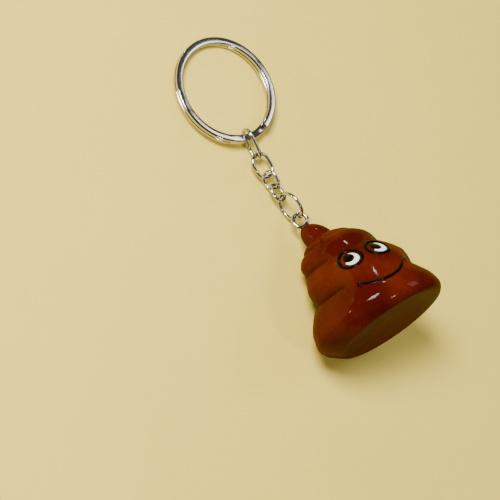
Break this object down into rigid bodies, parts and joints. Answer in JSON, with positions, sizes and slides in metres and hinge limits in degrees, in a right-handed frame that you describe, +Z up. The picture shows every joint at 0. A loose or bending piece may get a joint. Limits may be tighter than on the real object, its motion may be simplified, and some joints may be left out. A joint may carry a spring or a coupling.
{
  "type": "keychain",
  "caption": "Novelty keychain: a split ring, a short chain of wire links, a jump ring and a glossy brown swirl charm with a flat base, a small tip and a plain smiling face.",
  "frame": {"origin": "on the table plane, under the middle of the keychain as it lies stretched out", "axes": "+Z up from the table; +X along the keychain from the split ring to the charm; the charm lies on its back, so its face looks up along +Z"},
  "size_m": [0.0934, 0.0362, 0.0353],
  "materials": {
    "nickel": "polished",
    "brown_gloss": "high gloss",
    "black_paint": "gloss paint",
    "white_paint": "gloss paint"
  },
  "bodies": {
    "charm": {"charm_body": "brown_gloss", "eye_pin": "nickel", "eye_outline_left": "black_paint", "eye_outline_right": "black_paint", "eye_white_left": "white_paint", "eye_white_right": "white_paint", "pupil_left": "black_paint", "pupil_right": "black_paint", "smile_line": "black_paint"},
    "jump_ring": {"jump_ring": "nickel"},
    "link_4": {"link_4": "nickel"},
    "link_3": {"link_3": "nickel"},
    "link_2": {"link_2": "nickel"},
    "link_1": {"link_1": "nickel"},
    "split_ring": {"split_ring": "nickel"}
  },
  "joints": [
    {"name": "jump_ring_swing", "type": "hinge", "parent": "charm", "child": "jump_ring", "pos_m": [0.00609, -0.00035, 0.0046], "axis": [-0.1009, 0.9397, 0.3268], "range_deg": [-70, 45]},
    {"name": "link_4_swing", "type": "hinge", "parent": "jump_ring", "child": "link_4", "pos_m": [0.00001, -0.00153, 0.00269], "axis": [-0.4303, -0.0836, 0.8988], "range_deg": [-60, 60]},
    {"name": "link_3_swing", "type": "hinge", "parent": "link_4", "child": "link_3", "pos_m": [-0.00369, -0.00175, 0.00245], "axis": [0.0529, -0.9773, 0.2054], "range_deg": [-60, 60]},
    {"name": "link_2_swing", "type": "hinge", "parent": "link_3", "child": "link_2", "pos_m": [-0.00734, -0.0019, 0.00263], "axis": [0.0213, -0.4062, -0.9135], "range_deg": [-45, 25]},
    {"name": "link_1_swing", "type": "hinge", "parent": "link_2", "child": "link_1", "pos_m": [-0.01269, -0.00287, 0.00298], "axis": [0.1477, -0.9792, -0.139], "range_deg": [-60, 60]},
    {"name": "split_ring_swing", "type": "hinge", "parent": "link_1", "child": "split_ring", "pos_m": [-0.01994, -0.00298, 0.00291], "axis": [-0.0061, 0.1735, -0.9848], "range_deg": [-27, 50]}
  ]
}
